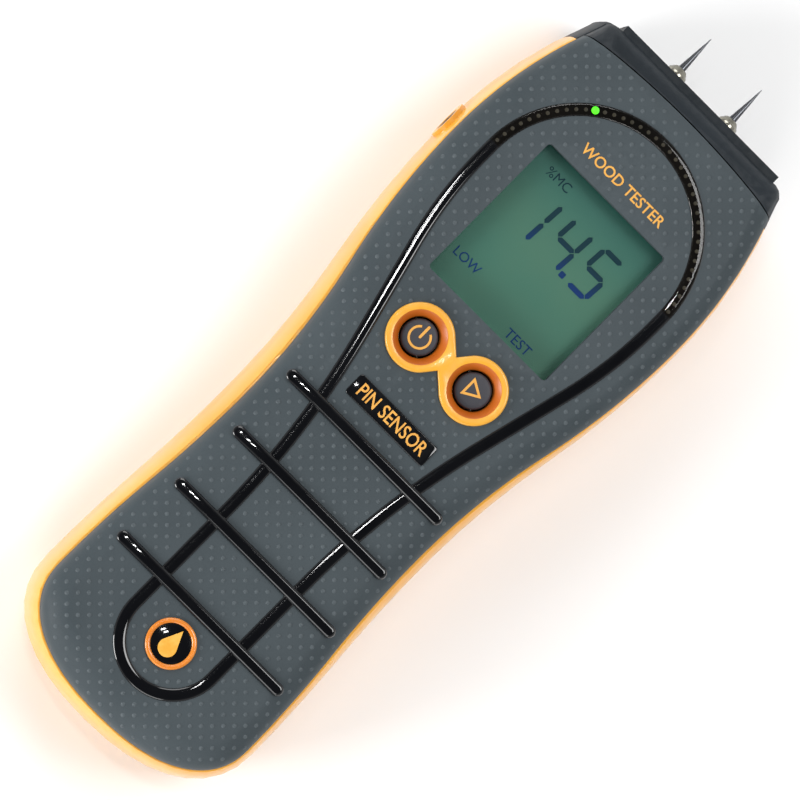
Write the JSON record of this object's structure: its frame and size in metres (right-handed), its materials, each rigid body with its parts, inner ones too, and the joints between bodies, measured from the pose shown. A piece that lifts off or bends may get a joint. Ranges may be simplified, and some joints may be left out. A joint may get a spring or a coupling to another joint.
{
  "type": "moisture meter",
  "caption": "Handheld pin-type moisture meter with needle probes, a display, round keys, a looped row of lights, grip bars and a sliding battery door.",
  "frame": {"origin": "under the middle of the meter's length, on the surface that its back lies on", "axes": "+X to the right of the display, +Y along the needles, +Z out of the display"},
  "size_m": [0.0686, 0.1916, 0.0339],
  "materials": {
    "grey_shell": "satin",
    "amber_shell": "satin",
    "slate_cap": "satin",
    "black_gloss": "polished",
    "smoked_lens": "polished",
    "key_rubber": "matt",
    "amber_bezel": "satin",
    "clear_window": "polished",
    "lcd_glass": "satin",
    "light_plastic": "satin",
    "dark_plastic": "matt",
    "foam": "matt",
    "contact_rubber": "matt",
    "board_green": "satin",
    "chip_black": "matt",
    "light_green": "polished",
    "bright_steel": "satin",
    "nickel": "satin",
    "brass": "satin",
    "copper": "satin",
    "cell_wrap": "satin"
  },
  "bodies": {
    "meter": {"front_shell": "grey_shell", "back_shell": "amber_shell", "head_cap": "slate_cap", "shell_gasket": "foam", "track_inlay": "black_gloss", "light_window": "smoked_lens", "grip_bar_1": "black_gloss", "grip_bar_2": "black_gloss", "grip_bar_3": "black_gloss", "grip_bar_4": "black_gloss", "name_plate": "black_gloss", "badge_ring": "amber_bezel", "badge_face": "black_gloss", "key_bezel": "amber_bezel", "tact_switches": "nickel", "display_window": "clear_window", "window_seal": "foam", "lcd_panel": "lcd_glass", "lcd_frame": "light_plastic", "zebra_strip": "contact_rubber", "circuit_board": "board_green", "board_chips": "chip_black", "light_row": "light_green", "buzzer": "dark_plastic", "search_plate": "copper", "search_contact": "brass", "probe_socket": "dark_plastic", "needle_socket_left": "brass", "needle_socket_right": "brass", "socket_tags": "brass", "battery_holder": "dark_plastic", "battery_left": "cell_wrap", "battery_right": "cell_wrap", "battery_springs": "nickel", "battery_contacts": "nickel", "shell_screws": "bright_steel", "board_screws": "bright_steel"},
    "power_key": {"power_key": "key_rubber", "power_plunger": "light_plastic"},
    "select_key": {"select_key": "key_rubber", "select_plunger": "light_plastic"},
    "battery_door": {"battery_door": "amber_shell", "door_pad": "foam"},
    "nut_washer_left": {"nut_washer_left": "nickel"},
    "nut_washer_right": {"nut_washer_right": "nickel"},
    "collet_nut_left": {"collet_nut_left": "nickel"},
    "collet_nut_right": {"collet_nut_right": "nickel"},
    "needle_left": {"needle_left": "bright_steel"},
    "needle_right": {"needle_right": "bright_steel"}
  },
  "joints": [
    {"name": "power_key_press", "type": "slide", "parent": "meter", "child": "power_key", "axis": [0, 0, -1], "range_m": [0, 0.0005], "stiffness_N_per_m": 2500},
    {"name": "select_key_press", "type": "slide", "parent": "meter", "child": "select_key", "axis": [0, 0, -1], "range_m": [0, 0.0005], "stiffness_N_per_m": 2500},
    {"name": "battery_door_slide", "type": "slide", "parent": "meter", "child": "battery_door", "axis": [0, -1, 0], "range_m": [0, 0.014]},
    {"name": "collet_nut_left_lift", "type": "slide", "parent": "meter", "child": "nut_washer_left", "axis": [0, 1, 0], "range_m": [0, 0.0028]},
    {"name": "collet_nut_left_turn", "type": "hinge", "parent": "nut_washer_left", "child": "collet_nut_left", "pos_m": [-0.0075, 0.08475, 0.022], "axis": [0, 1, 0], "range_deg": [0, 1440]},
    {"name": "needle_left_slide", "type": "slide", "parent": "meter", "child": "needle_left", "axis": [0, 1, 0], "range_m": [0, 0.01]},
    {"name": "collet_nut_right_lift", "type": "slide", "parent": "meter", "child": "nut_washer_right", "axis": [0, 1, 0], "range_m": [0, 0.0028]},
    {"name": "collet_nut_right_turn", "type": "hinge", "parent": "nut_washer_right", "child": "collet_nut_right", "pos_m": [0.0075, 0.08475, 0.022], "axis": [0, 1, 0], "range_deg": [0, 1440]},
    {"name": "needle_right_slide", "type": "slide", "parent": "meter", "child": "needle_right", "axis": [0, 1, 0], "range_m": [0, 0.01]}
  ],
  "couplings": [
    {"joint": "collet_nut_left_turn", "follows": "collet_nut_left_lift", "rad_per_m": 8976},
    {"joint": "collet_nut_right_turn", "follows": "collet_nut_right_lift", "rad_per_m": 8976}
  ]
}
